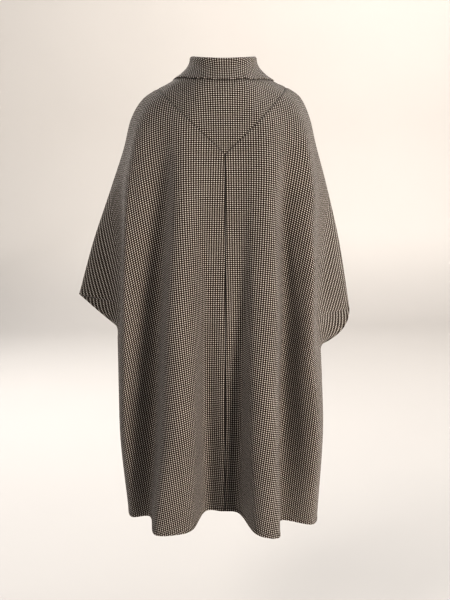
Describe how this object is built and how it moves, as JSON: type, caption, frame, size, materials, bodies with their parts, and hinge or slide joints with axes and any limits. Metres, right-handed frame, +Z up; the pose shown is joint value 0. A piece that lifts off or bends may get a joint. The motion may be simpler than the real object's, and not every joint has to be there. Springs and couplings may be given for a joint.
{
  "type": "cape coat",
  "caption": "Knee-length wool cape coat with wide batwing sleeves, a V-shaped back yoke and a turned-down collar, hollow as worn and open at neck, cuffs and hem.",
  "frame": {"origin": "the middle of the neck opening, level with the lower edge of the collar at the back, where the wearer's shoulders hold the coat", "axes": "+Z up, +X to the wearer's left, the front faces -Y and the back +Y"},
  "size_m": [0.68, 0.439, 1.1292],
  "materials": {
    "wool_check": "matt brushed wool in a small dogtooth check"
  },
  "bodies": {
    "root": {"back_left": "wool_check", "back_right": "wool_check", "back_yoke": "wool_check", "front_left": "wool_check", "front_right": "wool_check", "collar_stand": "wool_check", "collar_fall": "wool_check"}
  },
  "joints": []
}
